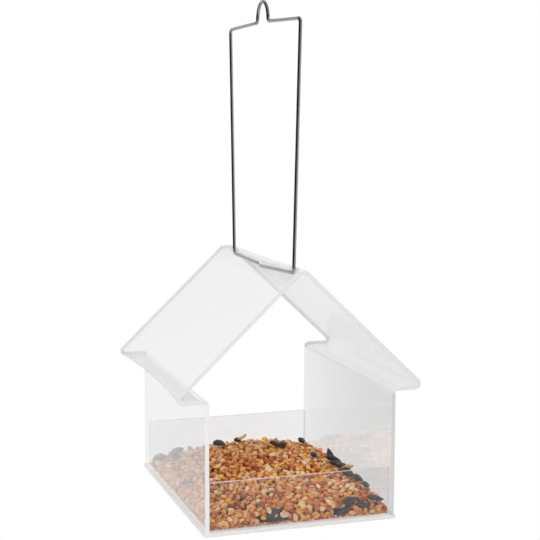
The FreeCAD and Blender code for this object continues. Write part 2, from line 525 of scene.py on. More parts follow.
def acrylic_edge(name, paleness, clear, painted_glint_clear, clear_tint, painted_shade_tint):
    """Cut edges, part frosted and part clear: a painted highlight at the front left, painted shade at the
    front right.
    """
    material, tree = new_material(name)
    place = object_place(tree)
    marks = noise(tree, place, scale=1400.0, detail=3.0)
    blotches = noise(tree, place, scale=40.0, detail=4.0)
    bump = bumped(tree, marks, strength=0.1, distance=0.1 * millimetre)
    tone = ranged(tree, blotches, paleness - 0.04, paleness + 0.02)
    frost = made(tree, "BsdfPrincipled", {
        "Base Color": tone,
        "Roughness": ranged(tree, blotches, 0.35, 0.5),
        "IOR": acrylic_bending,
        "Normal": bump,
    })
    glow = made(tree, "BsdfTranslucent", {"Color": tone, "Normal": bump})
    glow_share = 0.2
    # Painted shade: the clear part's tint darkens towards the front right; painted highlight: frost whitens
    # the front left.
    tint = to_corner(tree, place, front_right, clear_tint, painted_shade_tint)
    passing = made(tree, "BsdfTransparent", {"Color": tint})
    clear_share = to_corner(tree, place, front_left, clear, painted_glint_clear)
    show(tree, mixed(tree, clear_share, mixed(tree, glow_share, frost, glow), passing))
    return material


def cement():
    """Dried solvent cement: clear, uneven and dotted with small bubbles, with a faint gloss."""
    material, tree = new_material("cement")
    flow = noise(tree, object_place(tree), scale=300.0, detail=2.0)
    bump = bumped(tree, bubbles(tree, scale=900.0), strength=0.2, distance=0.2 * millimetre)
    passing = made(tree, "BsdfTransparent", {"Color": ranged(tree, flow, 0.97, 1.0)})
    shine = gloss(tree, ranged(tree, flow, 0.05, 0.25), bump)
    show(tree, mixed(tree, straight_mirror, passing, shine))
    return material


def bond():
    """Faces that cement joins: nothing is mirrored there, and small bubbles show."""
    material, tree = new_material("bond")
    film = ranged(tree, bubbles(tree, scale=700.0), 0.96, 1.0)
    show(tree, made(tree, "BsdfTransparent", {"Color": film}))
    return material


def drawn_steel():
    """Bright drawn wire: fine lines along its length and patches of duller metal."""
    material, tree = new_material("drawn_steel")
    winding = add(tree, "Attribute", attribute_name="wire_place").outputs["Vector"]
    stretched = made(tree, "Mapping", {"Vector": winding, "Scale": (60.0, 6.0, 1.0)})
    lines = noise(tree, stretched, scale=1.0, detail=5.0)
    patches = noise(tree, object_place(tree), scale=90.0, detail=4.0)
    steel = made(tree, "BsdfPrincipled", {
        "Base Color": ramp_of(tree, patches, steel_colours),
        "Metallic": 1.0,
        "Roughness": ranged(tree, lines, 0.22, 0.34),
        "Normal": bumped(tree, lines, strength=0.15, distance=0.05 * millimetre),
    })
    show(tree, steel)
    return material


def grain_material(name, colours, mottle, roughness, seam=None):
    """Skin of one kind of grain: its own tone, mottled, changed in its seam, and darkened with painted shade
    in the gaps.
    """
    material, tree = new_material(name)
    marks = add(tree, "Attribute", attribute_name="grain").outputs["Vector"]
    parts = add(tree, "SeparateXYZ", {"Vector": marks}).outputs
    patches = noise(tree, object_place(tree), scale=mottle, detail=4.0)
    uneven = ranged(tree, patches, -0.35, 0.35)
    tone = made(tree, "Math", {0: parts["Z"], 1: uneven}, operation="ADD")
    tip_paleness = 0.12
    paler_tip = made(tree, "Math", {0: parts["X"], 1: tip_paleness, 2: tone}, operation="MULTIPLY_ADD")
    skin = ramp_of(tree, paler_tip, colours)
    if seam:
        skin = blend(tree, parts["Y"], skin, (*seam, 1.0))
    # Painted shade: where grains of the same piece lie close, the skin is darkened towards a dark brown.
    gap_reach = 2.2 * millimetre
    openness = add(tree, "AmbientOcclusion", {"Distance": gap_reach}, samples=8, only_local=True)
    shown_share = power(tree, openness.outputs["AO"], 1.2)
    gap_shade_share = 0.8
    shaded_skin = blend(tree, gap_shade_share, skin, (*painted_shade_colours[1], 1.0), "MULTIPLY")
    surface = made(tree, "BsdfPrincipled", {
        "Base Color": blend(tree, shown_share, shaded_skin, skin),
        "Roughness": roughness,
        "Specular IOR Level": 0.45,
        "Normal": bumped(tree, patches, strength=0.25, distance=0.3 * millimetre),
    })
    show(tree, surface)
    return material


# The bent strip and the flat sheets


def rounded_stations(corners, bends, run_steps, bend_steps):
    """Points along runs with round bends, each with the unit normal to its left, in a plane."""
    stations = []
    start = corners[0]
    for before, corner, after, bend, steps in zip(corners, corners[1:], corners[2:], bends, run_steps):
        back = (before - corner).normalized()
        ahead = (after - corner).normalized()
        half_angle = back.angle(ahead) / 2
        reach = bend / tan(half_angle)
        stations += straight_stations(start, corner + back * reach, steps)
        middle = corner + (back + ahead).normalized() * (bend / sin(half_angle))
        first = corner + back * reach - middle
        turn = pi - 2 * half_angle
        side = 1 if back.x * ahead.y - back.y * ahead.x < 0 else -1
        for step in range(bend_steps):
            spoke = Matrix.Rotation(side * turn * step / bend_steps, 2) @ first
            stations.append((middle + spoke, spoke.normalized() * -side))
        start = corner + ahead * reach
    stations += straight_stations(start, corners[-1], run_steps[-1])
    stations.append((corners[-1], stations[-1][1]))
    return stations


def straight_stations(start, end, steps):
    """Points from start, short of end, closest near the bends, with the normal to the left."""
    way = (end - start).normalized()
    normal = Vector((-way.y, way.x))
    shares = [(1 - cos(pi * step / steps)) / 2 for step in range(steps)]
    return [(start.lerp(end, share), normal) for share in shares]


def mirrored_corners(corners):
    """The same corners on the other side of the upright middle line, in the same order."""
    return [Vector((-corner.x, corner.y)) for corner in corners]


def strip_middle():
    """Stations along the middle of the strip, from the foot of the left wall to that of the right one."""
    half = [
        Vector((strip_wall_x, floor_high.z + cement_film)),
        Vector((strip_wall_x, strip_flange_z)),
        Vector((strip_eave_x, strip_flange_z)),
    ]
    corners = mirrored_corners(half) + [Vector((0, strip_ridge_z))] + half[::-1]
    bends = [wall_bend, eave_bend, ridge_bend, eave_bend, wall_bend]
    wall_steps = 10
    flange_steps = 4
    slope_steps = 40
    half_steps = [wall_steps, flange_steps, slope_steps]
    return rounded_stations(corners, bends, half_steps + half_steps[::-1], bend_steps=10)


def out_of_true(middle, y):
    """How far the heat moved the strip here: in at the eaves and down where the ridge is pressed flat."""
    bulge = 1 - (y / half_depth) ** 2
    wall = panel_high.x + sheet
    if middle.y < strip_flange_z - sheet:
        return Vector((0, 0, 0))
    bow_curve = 0.7
    at_eave = max(0.0, (abs(middle.x) - wall) / (shell_high.x - wall)) ** bow_curve
    inward = -copysign(1, middle.x)
    fold_angle = roof_pitch / 2
    bow = eave_bow * bulge * at_eave
    share = min(max(1 + y / wire_leg_y, 0.0), 1.0)
    flat_top = shell_high.z - sheet / 2 - ridge_press * (3 - 2 * share) * share ** 2
    pressed = max(0.0, middle.y - flat_top)
    return Vector((inward * bow * cos(fold_angle), 0, bow * sin(fold_angle) - pressed))


def shell_mesh(materials):
    """The bent strip as one closed mesh, with frosted front and back edges."""
    half = sheet / 2
    inner = half - edge_chamfer
    face_end = half_depth - edge_chamfer
    spans = 24
    along = [face_end * (2 * step / spans - 1) for step in range(spans + 1)]
    around = [(half, y) for y in along]
    around += [(inner, half_depth), (-inner, half_depth)]
    around += [(-half, y) for y in along[::-1]]
    around += [(-inner, -half_depth), (inner, -half_depth)]
    rings = []
    kinds = []
    for middle, normal in strip_middle():
        ring = []
        for distance, y in around:
            point = middle + normal * distance
            ring.append(Vector((point.x, y, point.y)) + out_of_true(middle, y))
        rings.append(ring)
        cut = wall_cut if middle.y < strip_flange_z - wall_bend else roof_cut
        kinds += [outer_face] * spans + [cut] * 3 + [inner_face] * spans + [cut] * 3
    kinds = kinds[:-len(around)] + [bonded_face, bonded_face]
    mesh = closed_mesh("clear_shell", rings, kinds)
    for material in materials:
        mesh.materials.append(material)
    return mesh


def wire_hole_cutter(y):
    """An upright round bar that cuts one wire hole through the ridge."""
    sides = 32
    half_length = 8 * millimetre
    spokes = [(cos(angle), sin(angle)) for angle in angles_round(sides, 0.5)]
    rings = []
    for z in (strip_ridge_z - half_length, strip_ridge_z + half_length):
        rings.append([(wire_hole_radius * over, y + wire_hole_radius * along, z) for over, along in spokes])
    end_faces = 2
    return new_object("hole", closed_mesh("hole", rings, [inner_face] * (sides + end_faces)))


def drilled(mesh, cutters):
    """The mesh with each cutter taken out of it, and the cutters gone."""
    blank = new_object("blank", mesh)
    for cutter in cutters:
        cut = blank.modifiers.new("cut", "BOOLEAN")
        cut.operation = "DIFFERENCE"
        cut.solver = "EXACT"
        cut.object = cutter
    evaluated = blank.evaluated_get(bpy.context.evaluated_depsgraph_get())
    result = bpy.data.meshes.new_from_object(evaluated)
    rework(result, weld)
    for spent in [blank, *cutters]:
        bpy.data.objects.remove(spent)
    return result


def clear_shell(materials):
    """Walls, eaves, roof and ridge, drilled for the two legs of the wire."""
    cutters = [wire_hole_cutter(y) for y in (-wire_leg_y, wire_leg_y)]
    mesh = drilled(shell_mesh(materials), cutters)
    sharpen(mesh, degrees=25)
    return new_piece("clear_shell", mesh, [], "house", "house_shell")


def clear_plate(node, materials, gaps):
    """A flat sheet with chamfered edges, short of its neighbours by these gaps and clear where bonded."""
    low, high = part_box(node)
    low = low + gaps
    high = high - gaps
    size = high - low
    thin = min(range(3), key=lambda axis: size[axis])
    draft = bmesh.new()
    bmesh.ops.create_cube(draft, size=1.0)
    bmesh.ops.scale(draft, vec=size, verts=draft.verts)
    bmesh.ops.translate(draft, vec=(low + high) / 2, verts=draft.verts)
    bmesh.ops.bevel(draft, geom=draft.edges[:], offset=edge_chamfer, segments=1, affect="EDGES")
    square_on = 0.99
    for face in draft.faces:
        bonded = any(gaps[axis] > 0 and abs(face.normal[axis]) > square_on for axis in range(3))
        free_top = face.normal.z > 0.5
        face.material_index = plate_bond if bonded and not free_top else plate_cut
        if abs(face.normal[thin]) > square_on:
            face.material_index = plate_face
        face.smooth = True
    mesh = bpy.data.meshes.new("clear_" + node)
    draft.to_mesh(mesh)
    draft.free()
    sharpen(mesh, degrees=25)
    return new_piece("clear_" + node, mesh, materials, "house", node)


def bead_section(leg):
    """Outline of a bead across its run: a hollow face between two legs, and the corner that they share."""
    arc_steps = 5
    angles = [pi / 2 * step / arc_steps for step in range(arc_steps + 1)]
    hollow = [(leg * (1 - sin(angle)), leg * (1 - cos(angle))) for angle in angles]
    return hollow + [(0.0, 0.0)]


def cement_piece(node, material, draw):
    """One bead of cement in a bonded corner, hollow-faced and uneven along its run."""
    low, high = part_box(node)
    size = high - low
    run = max(range(3), key=lambda axis: size[axis])
    first, second = [axis for axis in range(3) if axis != run]
    corner = Vector(low)
    for axis in (0, 1):
        if axis != run and low[axis] + high[axis] > 0:
            corner[axis] = high[axis]
    out_first = 1 if corner[first] == low[first] else -1
    out_second = 1 if corner[second] == low[second] else -1
    least_stations = 8
    station_gap = 2 * millimetre
    stations = max(least_stations, int(size[run] / station_gap))
    mean_leg = 0.78
    wave_height = 0.07
    wave_rates = (180, 410, 930)
    phases = draw.uniform(0, 2 * pi, len(wave_rates))
    rings = []
    for station in range(stations + 1):
        share = station / stations
        waves = [sin(phase + share * size[run] * rate) for phase, rate in zip(phases, wave_rates)]
        leg = (size[first] - cement_film) * (mean_leg + wave_height * sum(waves))
        ring = []
        for over, up in bead_section(leg):
            point = Vector(corner)
            point[run] = low[run] + cement_film + share * (size[run] - 2 * cement_film)
            point[first] += out_first * (over + cement_film)
            point[second] += out_second * (up + cement_film)
            ring.append(point)
        rings.append(ring)
    mesh = closed_mesh(node + "_cement", rings)
    sharpen(mesh, degrees=40)
    return new_piece(node + "_cement", mesh, [material], "house", node)


def clear_sheets():
    """The four sheets and the cement between them."""
    # Cut edges of each sheet, with their share of painted highlight at the front left and painted shade at
    # the front right
    roof_edge = acrylic_edge(
        "roof_edge",
        paleness=0.88, clear=0.15, painted_glint_clear=0.10, clear_tint=0.95, painted_shade_tint=0.85)
    wall_edge = acrylic_edge(
        "wall_edge",
        paleness=0.97, clear=0.80, painted_glint_clear=0.05, clear_tint=0.97, painted_shade_tint=0.70)
    panel_edge = acrylic_edge(
        "panel_edge",
        paleness=0.95, clear=0.65, painted_glint_clear=0.45, clear_tint=0.90, painted_shade_tint=0.85)
    joined = bond()
    weathered = acrylic_face("weathered_acrylic", tint=0.935, dust=0.01, roughness=0.05, roof_dust=0.38)
    sheltered = acrylic_face("sheltered_acrylic", tint=0.935, dust=0.01, roughness=0.05, roof_dust=0.04)
    flat = acrylic_face("flat_acrylic", tint=0.945, dust=0.015, roughness=0.04, roof_dust=0.0)
    clear_shell([weathered, roof_edge, sheltered, joined, wall_edge])
    clear_plate("floor_plate", [flat, panel_edge, joined], Vector((0, 0, 0)))
    for node in ("front_panel", "back_panel"):
        clear_plate(node, [flat, panel_edge, joined], Vector((cement_film, 0, cement_film)))
    draw = np.random.default_rng(bead_random_seed)
    cement_material = cement()
    for node in frame["nodes"]:
        if "bead" in node:
            cement_piece(node, cement_material, draw)


# The wire


def wire_stations():
    """Stations along the middle of the wire, from its back end, over the loop, to its front end."""
    back_shoulder = [
        Vector((hanger_top_y, hanger_corner_z)),
        Vector((loop_radius, loop_foot_z)),
        Vector((loop_radius, loop_top_z)),
    ]
    front_shoulder = mirrored_corners(back_shoulder[::-1])
    back_end = Vector((wire_back_end, wire_run_z - back_end_drop))
    back_foot = Vector((wire_leg_y, wire_run_z - back_foot_drop))
    front_foot = Vector((-wire_leg_y, wire_run_z))
    front_end = Vector((wire_front_end, wire_run_z - front_end_drop))
    corners = [back_end, back_foot, *back_shoulder, *front_shoulder, front_foot, front_end]
    half_bends = [wire_bend, wire_bend, loop_foot_bend, loop_radius]
    lower_steps = 8
    leg_steps = 24
    shoulder_steps = 10
    loop_side_steps = 2
    half_steps = [lower_steps, leg_steps, shoulder_steps, loop_side_steps]
    loop_top_steps = 0
    run_steps = half_steps + [loop_top_steps] + half_steps[::-1]
    return rounded_stations(corners, half_bends + half_bends[::-1], run_steps, bend_steps=10)


def hanger(material):
    """One bent wire with its hook loop, legs and two runs under the ridge, as a swept tube."""
    stations = wire_stations()
    angles = angles_round(18)
    end_share = 0.8
    rings = []
    winding = []
    travelled = 0.0
    for number, (middle, normal) in enumerate(stations):
        if number:
            travelled += (middle - stations[number - 1][0]).length
        at_end = number in (0, len(stations) - 1)
        radius = wire_radius * (end_share if at_end else 1.0)
        ring = []
        for angle in angles:
            lean = normal * (radius * cos(angle))
            ring.append((radius * sin(angle), middle.x + lean.x, middle.y + lean.y))
            winding.append((cos(angle), travelled, sin(angle)))
        rings.append(ring)
    mesh = closed_mesh("bent_wire", rings)
    keep_vectors(mesh, "wire_place", winding)
    sharpen(mesh, degrees=50)
    return new_piece("bent_wire", mesh, [material], "hanger", "hanger_wire")


# Shapes of the grains, each about its own middle with its length along X, marked along it and in its seam


def ovoid(size, outline, section, rings, sides):
    """A closed grain of this length, width and depth, from an outline along it and a section round it."""
    length, width, depth = size
    vertices = [(-length / 2, 0.0, 0.0)]
    marks = [(-1.0, 0.0)]
    for ring in range(rings):
        share = -cos(pi * (ring + 1) / (rings + 1))
        swell = outline(share)
        for turn in angles_round(sides):
            angle = turn - pi / 2
            pull, seam = section(angle)
            y = width / 2 * swell * cos(angle) * pull
            z = depth / 2 * swell * sin(angle) * pull
            vertices.append((length / 2 * share, y, z))
            marks.append((share, seam))
    vertices.append((length / 2, 0.0, 0.0))
    marks.append((1.0, 0.0))
    tip = len(vertices) - 1
    faces = []
    for side in range(sides):
        after = (side + 1) % sides
        faces.append((0, 1 + after, 1 + side))
        for ring in range(rings - 1):
            first = 1 + ring * sides
            second = first + sides
            faces.append((first + side, first + after, second + after, second + side))
        faces.append((tip - sides + side, tip - sides + after, tip))
    return np.array(vertices), faces, np.array(marks)


def wheat_kernel(room, draw):
    """A plump kernel with the crease along its belly."""
    size = room * draw.uniform(0.86, 1.0, 3)
    taper = draw.uniform(0.05, 0.2)
    bluntness = 2.4
    crease_width = 0.35
    crease_depth = 0.25

    def outline(share):
        return (1 - abs(share) ** bluntness) ** 0.5 * (1 - taper * share)

    def section(angle):
        crease = exp(-((angle + pi / 2) / crease_width) ** 2)
        return 1 - crease_depth * crease, crease

    return ovoid(size, outline, section, rings=7, sides=12)


def sunflower_seed(room, draw):
    """A flat drop with a blunt end, its hull ridged along its length."""
    size = room * draw.uniform(0.88, 1.0, 3)
    fullness = 0.94
    ridge_count = 6
    ridge_depth = 0.05

    def outline(share):
        blunt_end = (1 + share) ** 0.45
        pointed_end = (1 - share) ** 0.85
        return fullness * blunt_end * pointed_end

    def section(angle):
        ridges = 0.5 + 0.5 * cos(ridge_count * angle)
        return 1 - ridge_depth * ridges, ridges

    return ovoid(size, outline, section, rings=10, sides=24)


def nut_bit(room, draw):
    """Half of a shelled nut, round on its back and nearly flat where it split."""
    size = room * draw.uniform(0.7, 1.0) * draw.uniform(0.9, 1.0, 3)
    along_start, round_start = draw.uniform(0, 2 * pi, 2)
    bluntness = 2.6
    split_flatness = 0.55
    split_level = -0.1

    def outline(share):
        lump = 1 + 0.06 * sin(5 * share + along_start)
        return (1 - abs(share) ** bluntness) ** 0.5 * lump

    def section(angle):
        flat = split_flatness if sin(angle) < split_level else 1.0
        lump = 1 + 0.07 * sin(3 * angle + round_start)
        return flat * lump, 1.0 - flat

    return ovoid(size, outline, section, rings=8, sides=14)


def maize_bit(room, draw):
    """An angular piece of cracked maize with softened corners."""
    corner_count = 14
    ways = draw.normal(size=(corner_count, 3))
    ways /= np.linalg.norm(ways, axis=1)[:, None]
    size = room * draw.uniform(0.65, 1.0)
    corners = ways * draw.uniform(0.8, 1.0, (corner_count, 1)) * size / 2
    draft = bmesh.new()
    for corner in corners:
        draft.verts.new(corner)
    hull = bmesh.ops.convex_hull(draft, input=draft.verts)
    inner = [part for part in hull["geom_interior"] if isinstance(part, bmesh.types.BMVert)]
    bmesh.ops.delete(draft, geom=inner)
    softening = 0.07 * size.min()
    bmesh.ops.bevel(
        draft, geom=draft.edges[:], offset=softening, segments=2, profile=0.5, affect="EDGES",
        clamp_overlap=True)
    weld(draft)
    face_out(draft)
    draft.verts.index_update()
    vertices = np.array([vertex.co[:] for vertex in draft.verts])
    faces = [tuple(vertex.index for vertex in face.verts) for face in draft.faces]
    draft.free()
    marks = np.column_stack([vertices[:, 0] / size[0] * 2, np.zeros(len(vertices))])
    return vertices, faces, marks


def husk(room, draw):
    """A thin, boat-shaped scrap of hull."""
    length, width, depth = room * draw.uniform(0.6, 1.0, 3)
    thickness = 0.18 * millimetre
    end_taper = 0.92
    cup = 0.6
    keel = 0.4
    columns = 8
    rows = 4
    lines = []
    marks = []
    for column in range(columns + 1):
        share = 2 * column / columns - 1
        half_width = width / 2 * (1 - end_taper * abs(share) ** 2.2)
        line = []
        for row in range(rows + 1):
            across = 2 * row / rows - 1
            rise = depth * (cup * across ** 2 + keel * share ** 2 - 0.5)
            line.append((length / 2 * share, half_width * across, rise))
            marks.append((share, 0.0))
        lines.append(line)
    outside = np.concatenate(lines)
    inside = outside + np.array([0.0, 0.0, thickness])
    face, back, rim = slab_faces(lines)
    return np.concatenate([outside, inside]), face + back + rim, np.array(marks + marks)


class Kind:
    """One kind of grain: the room that one takes, its shapes, its skin, and where its grains lie."""

    def __init__(self, name, shape, room, skin, draw):
        varieties = 12
        self.name = name
        self.room = np.array(room) * millimetre
        self.shapes = [shape(self.room, draw) for _ in range(varieties)]
        self.skin = skin
        self.grains = []

    def lay(self, turn, place):
        """Adds a grain with these axes, moved so that it stays in the tray, and gives its middle line."""
        reach = np.sqrt(((turn * self.room / 2) ** 2).sum(1))
        low = np.array([-tray_half_x, -tray_half_y, floor_high.z + tray_slack]) + reach
        high = np.array([tray_half_x, tray_half_y, panel_high.z + reach[2]]) - reach
        kept = np.clip(place, low, high)
        self.grains.append((turn, kept))
        middle = Vector(kept)
        line_share = 0.4
        half = Vector(turn[:, 0]) * (self.room[0] * line_share)
        return middle - half, middle + half

    def join(self, draw):
        """One piece that holds all the grains, with each one's tone kept for its skin."""
        vertices = []
        faces = []
        marks = []
        count = 0
        for turn, place in self.grains:
            grain, grain_faces, grain_marks = self.shapes[draw.integers(len(self.shapes))]
            tones = np.full(len(grain), draw.uniform(0, 1))
            vertices.append(grain @ turn.T + place)
            faces += [tuple(corner + count for corner in face) for face in grain_faces]
            marks.append(np.column_stack([grain_marks, tones]))
            count += len(grain)
        mesh = mesh_of(self.name, np.concatenate(vertices).tolist(), faces)
        keep_vectors(mesh, "grain", np.concatenate(marks))
        sharpen(mesh, degrees=50)
        return new_piece(self.name, mesh, [self.skin], "house", "seed_heap")


# The heap


class Heap:
    """The seed heap's solid in the frame, as a surface to lay grains on."""

    def __init__(self):
        depsgraph = bpy.context.evaluated_depsgraph_get()
        self.tree = BVHTree.FromObject(frame["nodes"]["seed_heap"], depsgraph)

    def top(self, x, y):
        """The mean place and normal of the top about this spot, or None past its rim."""
        spread = 5 * millimetre
        spots = [(x, y)]
        spots += [(x + spread * cos(angle), y + spread * sin(angle)) for angle in angles_round(6)]
        hits = [self.below(*spot) for spot in spots]
        hits = [hit for hit in hits if hit]
        if not hits:
            return None
        level = sum(point.z for point, normal in hits) / len(hits)
        normal = sum((normal for point, normal in hits), Vector((0, 0, 0))).normalized()
        return Vector((x, y, level)), normal

    def below(self, x, y):
        """The point and normal of the top straight below this spot, or None past its rim."""
        if abs(x) > heap_half_x or abs(y) > heap_half_y:
            return None
        point, normal, _, _ = self.tree.ray_cast(Vector((x, y, heap_high.z + sheet)), Vector((0, 0, -1)))
        if point is None or point.z < heap_low.z + millimetre:
            return None
        return point, normal

    def under_pixel(self, column, row):
        """Where the camera sees the heap at this pixel, or at the nearest one below that shows it."""
        right, up, forward = camera_axes()
        across = (column - photo_side / 2) / focal_pixels
        for lower in range(photo_side - row):
            down = (row + lower - photo_side / 2) / focal_pixels
            way = (forward + right * across - up * down).normalized()
            point, normal, _, _ = self.tree.ray_cast(camera_place, way)
            if point is not None:
                return self.skin(point)
        raise ValueError("the heap is not below this pixel")

    def skin(self, point):
        """This place with the mean normal about it, or moved out to the sheet that a side leans on."""
        side_depth = 0.1 * millimetre
        for axis, half, reach in ((0, heap_half_x, tray_half_x), (1, heap_half_y, tray_half_y)):
            if abs(point[axis]) > half - side_depth:
                point[axis] = copysign(reach, point[axis])
                outward = Vector((0, 0, 0))
                outward[axis] = copysign(1, point[axis])
                return point, outward
        _, normal = self.top(point.x, point.y)
        return point, normal


def spread_places(draw, low, high, gap=grain_gap):
    """Random places in a rectangle, no two nearer than the gap."""
    cell = gap / sqrt(2)
    tries = 30000
    nearby = range(-2, 3)
    taken = {}
    places = []
    for across, along in draw.uniform(low, high, (tries, 2)):
        column = int(across // cell)
        row = int(along // cell)
        near = [taken.get((column + over, row + up)) for over in nearby for up in nearby]
        if any(other and dist(other, (across, along)) < gap for other in near):
            continue
        taken[column, row] = (across, along)
        places.append((across, along))
    return places


def top_places(heap, depth, draw):
    """Places at this depth under the heap's top."""
    places = []
    for x, y in spread_places(draw, (-heap_half_x, -heap_half_y), (heap_half_x, heap_half_y)):
        point, normal = heap.top(x, y)
        sunk = depth + draw.uniform(0, 1) * millimetre
        places.append((point - normal * sunk, normal))
    return places


def bottom_places(draw):
    """Places on the floor under the heap."""
    down = Vector((0, 0, -1))
    spots = spread_places(draw, (-heap_half_x, -heap_half_y), (heap_half_x, heap_half_y))
    return [(Vector((x, y, heap_low.z)), down) for x, y in spots]


def floor_edge_places(draw):
    """Places on the floor close to the walls and panels."""
    up = Vector((0, 0, 1))
    strip = 3.0 * millimetre
    places = []
    for end in (-1, 1):
        for across, along in spread_places(draw, (0, -tray_half_y), (strip, tray_half_y), crumb_gap):
            places.append((Vector((end * (tray_half_x - across), along, heap_low.z)), up))
        for across, along in spread_places(draw, (0, -tray_half_x), (strip, tray_half_x), crumb_gap):
            places.append((Vector((along, end * (tray_half_y - across), heap_low.z)), up))
    return places


def side_places(heap, depth, draw):
    """Places at this depth behind the heap's four upright sides, where it leans on the walls and panels."""
    half = (heap_half_x, heap_half_y)
    reach = (tray_half_x - depth, tray_half_y - depth)
    places = []
    for axis, end in ((0, -1), (0, 1), (1, -1), (1, 1)):
        normal = Vector((0, 0, 0))
        normal[axis] = end
        other = 1 - axis
        for along, z in spread_places(draw, (-half[other], heap_low.z), (half[other], heap_high.z)):
            point = Vector((0, 0, z))
            point[axis] = end * reach[axis]
            point[other] = along
            rim = Vector(point)
            rim[axis] = end * half[axis]
            top, _ = heap.top(rim.x, rim.y)
            if z < top.z - millimetre:
                places.append((point, normal))
    return places


def clear_of(places, lines, gap):
    """The places that are no nearer than the gap to any of the lines."""
    kept = []
    for point, normal in places:
        nearest = inf
        for start, end in lines:
            share = (point - start).dot(end - start) / (end - start).length_squared
            on_line = start.lerp(end, min(max(share, 0.0), 1.0))
            nearest = min(nearest, (point - on_line).length)
        if nearest > gap:
            kept.append((point, normal))
    return kept


def lay_layer(places, kinds, mix, draw, tilt, sink):
    """Lays a grain at each place, turned at random, its kind drawn by the shares of the mix."""
    names = list(mix)
    shares = list(mix.values())
    for point, normal in places:
        kind = kinds[names[draw.choice(len(names), p=shares)]]
        roll = Matrix.Rotation(draw.uniform(0, 2 * pi), 3, "X")
        pitch = Matrix.Rotation(radians(draw.normal(0, tilt)), 3, "Y")
        yaw = Matrix.Rotation(draw.uniform(0, 2 * pi), 3, "Z")
        lean = Vector((0, 0, 1)).rotation_difference(normal).to_matrix()
        turn = np.array(lean @ yaw @ pitch @ roll)
        depth = np.sqrt(((np.array(normal) @ turn * kind.room / 2) ** 2).sum())
        kind.lay(turn, np.array(point) - np.array(normal) * depth * sink)


def lay_between_pixels(heap, ends, kind, proud, draw):
    """Lays a grain, proud by this share of its depth, between two pixels and gives its middle line."""
    (first, first_normal), (second, second_normal) = [heap.under_pixel(*end) for end in ends]
    along = (second - first).normalized()
    side = (first_normal + second_normal).cross(along).normalized()
    upright = along.cross(side)
    roll_spread = 15
    roll = Matrix.Rotation(radians(draw.normal(0, roll_spread)), 3, along)
    turn = np.array((along, roll @ side, roll @ upright)).T
    middle = (first + second) / 2 + upright * (kind.room[2] * proud)
    return kind.lay(turn, np.array(middle))


def lay_standing(heap, foot, tip, kind, buried):
    """Stands a grain, buried by this share, up from one pixel towards another, and gives its middle line."""
    base, _ = heap.under_pixel(*foot)
    right, up, forward = camera_axes()
    along = (right * (tip[0] - foot[0]) - up * (tip[1] - foot[1])).normalized()
    turn = np.array((along, forward.cross(along), forward)).T
    return kind.lay(turn, np.array(base + along * (kind.room[0] * (0.5 - buried))))


def seed_kinds(draw):
    """The kinds of grain by name. Wheat makes three pieces: on top, below that, and at rim and floor."""
    wheat_skin = grain_material("wheat_skin", wheat_colours, mottle=700.0, roughness=0.5, seam=crease_colour)
    maize_skin = grain_material("maize_skin", maize_colours, mottle=350.0, roughness=0.5)
    hull_skin = grain_material(
        "sunflower_hull", hull_colours, mottle=500.0, roughness=0.45, seam=ridge_colour)
    nut_skin = grain_material("nut_skin", nut_colours, mottle=400.0, roughness=0.6)
    husk_skin = grain_material("husk_skin", husk_colours, mottle=600.0, roughness=0.6)
    return {
        "upper": Kind("seed_wheat_upper", wheat_kernel, wheat_room, wheat_skin, draw),
        "lower": Kind("seed_wheat_lower", wheat_kernel, wheat_room, wheat_skin, draw),
        "rim": Kind("seed_wheat_rim", wheat_kernel, wheat_room, wheat_skin, draw),
        "maize": Kind("seed_maize", maize_bit, maize_room, maize_skin, draw),
        "sunflower": Kind("seed_sunflower", sunflower_seed, sunflower_room, hull_skin, draw),
        "nuts": Kind("seed_nut", nut_bit, nut_room, nut_skin, draw),
        "husks": Kind("seed_husk", husk, husk_room, husk_skin, draw),
        "crumbs": Kind("seed_crumbs", wheat_kernel, crumb_room, wheat_skin, draw),
    }


def lay_placed_grains(heap, kinds, draw):
    """Lays the grains that have a place of their own and gives their middle lines."""
    lines = []
    for name, places, proud in (
        ("sunflower", sunflower_ends, 0.5),
        ("maize", maize_ends, 0.4),
        ("nuts", nut_ends, 0.4),
        ("husks", husk_ends, 0.9),
    ):
        lines += [lay_between_pixels(heap, ends, kinds[name], proud, draw) for ends in places]
    lines.append(lay_standing(heap, *standing_seed, kinds["sunflower"], buried=0.35))
    lines.append(lay_standing(heap, *jutting_husk, kinds["husks"], buried=0.2))
    return lines


def lay_loose_grains(heap, kinds, lines, draw):
    """Lays two layers on the top and two behind the sides, one on the floor, and crumbs at its edges."""
    top = clear_of(top_places(heap, 0.0, draw), lines, top_clearance)
    lay_layer(top, kinds, top_mix, draw, tilt=25, sink=0.7)
    deeper = top_places(heap, layer_depth, draw)
    lay_layer(deeper, kinds, inner_mix, draw, tilt=25, sink=0.7)
    sides = clear_of(side_places(heap, 0.0, draw), lines, side_clearance)
    lay_layer(sides, kinds, side_mix, draw, tilt=35, sink=1.0)
    inner_sides = clear_of(side_places(heap, layer_depth, draw), lines, inner_side_clearance)
    lay_layer(inner_sides, kinds, inner_mix, draw, tilt=35, sink=1.0)
    under = clear_of(bottom_places(draw), lines, side_clearance)
    lay_layer(under, kinds, floor_mix, draw, tilt=20, sink=1.0)
    edges = clear_of(floor_edge_places(draw), lines, crumb_clearance)
    lay_layer(edges, kinds, edge_mix, draw, tilt=20, sink=0.0)


